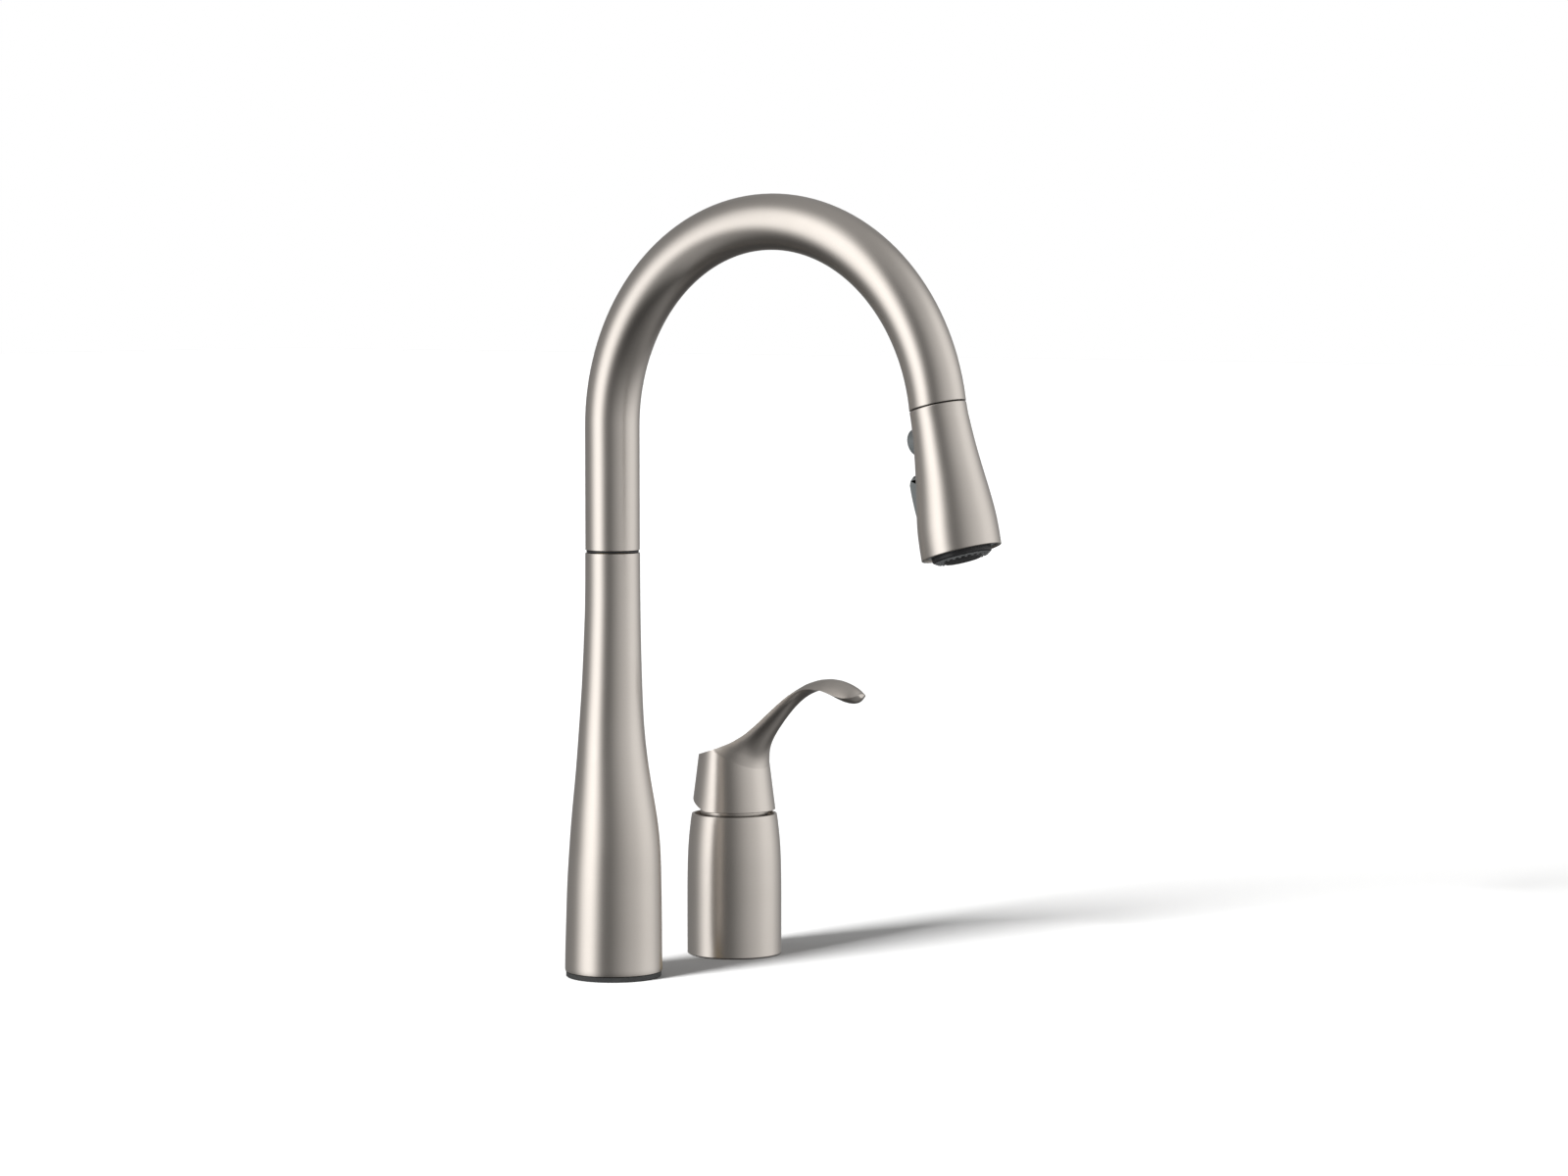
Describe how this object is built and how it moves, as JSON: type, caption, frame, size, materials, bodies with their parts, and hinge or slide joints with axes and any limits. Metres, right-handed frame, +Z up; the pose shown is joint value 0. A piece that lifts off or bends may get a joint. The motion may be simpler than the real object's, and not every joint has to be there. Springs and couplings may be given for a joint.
{
  "type": "pull-down kitchen faucet",
  "caption": "Deck-mounted kitchen faucet with a tall swivelling gooseneck spout, a pull-down sprayhead on a hose, and a separate side valve with a lever handle.",
  "frame": {"origin": "centre of the spout column's foot on the deck plane", "axes": "+Z up along the column and the spout's swing axis, -Y along the spout towards the user, +X towards the side valve"},
  "size_m": [0.1548, 0.2723, 0.5386],
  "materials": {
    "satin_nickel": "satin brushed nickel",
    "brass": "plain machined brass",
    "steel": "zinc-plated steel",
    "dark_rubber": "matt dark rubber",
    "black_plastic": "moulded black plastic",
    "grey_plastic": "moulded dark grey plastic",
    "white_plastic": "natural moulded plastic",
    "braid": "woven grey hose cover",
    "copper": "drawn copper"
  },
  "bodies": {
    "fixed_parts": {"base_gasket": "dark_rubber", "spout_column": "satin_nickel", "swivel_journal": "brass", "swivel_o_ring_1": "dark_rubber", "swivel_o_ring_2": "dark_rubber", "swivel_ring": "black_plastic", "swivel_clip": "steel", "column_shank": "brass", "column_rubber_washer": "dark_rubber", "column_steel_washer": "steel", "column_nut": "brass", "column_clamp_screw_1": "steel", "column_clamp_screw_2": "steel", "valve_gasket": "dark_rubber", "valve_barrel": "satin_nickel", "valve_body": "brass", "cartridge": "white_plastic", "cartridge_nut": "brass", "neck_ring": "satin_nickel", "valve_shank": "brass", "valve_rubber_washer": "dark_rubber", "valve_steel_washer": "steel", "valve_nut": "brass", "valve_clamp_screw_1": "steel", "valve_clamp_screw_2": "steel", "hot_tube": "copper", "cold_tube": "copper", "mixed_tube": "copper", "hot_fitting": "brass", "cold_fitting": "brass", "mixed_fitting": "brass"},
    "spout": {"spout_tube": "satin_nickel", "spout_sleeve": "white_plastic", "hose_in_spout": "braid", "dock_adapter": "black_plastic", "dock_magnet": "steel"},
    "hose_tail": {"hose_end": "braid", "hose_ferrule": "steel", "hose_nut": "brass"},
    "sprayhead": {"docking_collar": "grey_plastic", "collar_ring": "steel", "spray_shell": "satin_nickel", "spray_core": "white_plastic", "face_ring": "grey_plastic", "spray_face": "black_plastic", "nozzle_ring": "dark_rubber", "aerator": "black_plastic", "rocker_pin": "steel"},
    "button": {"mode_button": "grey_plastic"},
    "rocker": {"flow_rocker": "grey_plastic"},
    "mixer": {"lever_carrier": "white_plastic", "pivot_pin": "steel"},
    "lever": {"lever_stem": "steel", "handle_lever": "satin_nickel", "set_screw": "steel", "screw_plug": "grey_plastic"}
  },
  "joints": [
    {"name": "spout_swing", "type": "hinge", "parent": "fixed_parts", "child": "spout", "pos_m": [0, 0, 0.2254], "axis": [0, 0, 1], "continuous": true},
    {"name": "spray_pull", "type": "slide", "parent": "spout", "child": "hose_tail", "axis": [0, -0.2453, -0.9694], "range_m": [0, 0.18], "stiffness_N_per_m": 2, "springref_m": -2},
    {"name": "spray_spin", "type": "hinge", "parent": "hose_tail", "child": "sprayhead", "pos_m": [0, -0.21102, 0.30439], "axis": [0, -0.2453, -0.9694], "continuous": true},
    {"name": "button_press", "type": "slide", "parent": "sprayhead", "child": "button", "axis": [0, -0.9694, 0.2453], "range_m": [0, 0.002], "stiffness_N_per_m": 300},
    {"name": "rocker_tilt", "type": "hinge", "parent": "sprayhead", "child": "rocker", "pos_m": [0, -0.20401, 0.25826], "axis": [1, 0, 0], "range_deg": [-4, 4]},
    {"name": "handle_turn", "type": "hinge", "parent": "fixed_parts", "child": "mixer", "pos_m": [0.1016, 0, 0.066], "axis": [0, 0, 1], "range_deg": [-45, 45]},
    {"name": "handle_lift", "type": "hinge", "parent": "mixer", "child": "lever", "pos_m": [0.1016, 0, 0.075], "axis": [-1, 0, 0], "range_deg": [0, 22]}
  ]
}
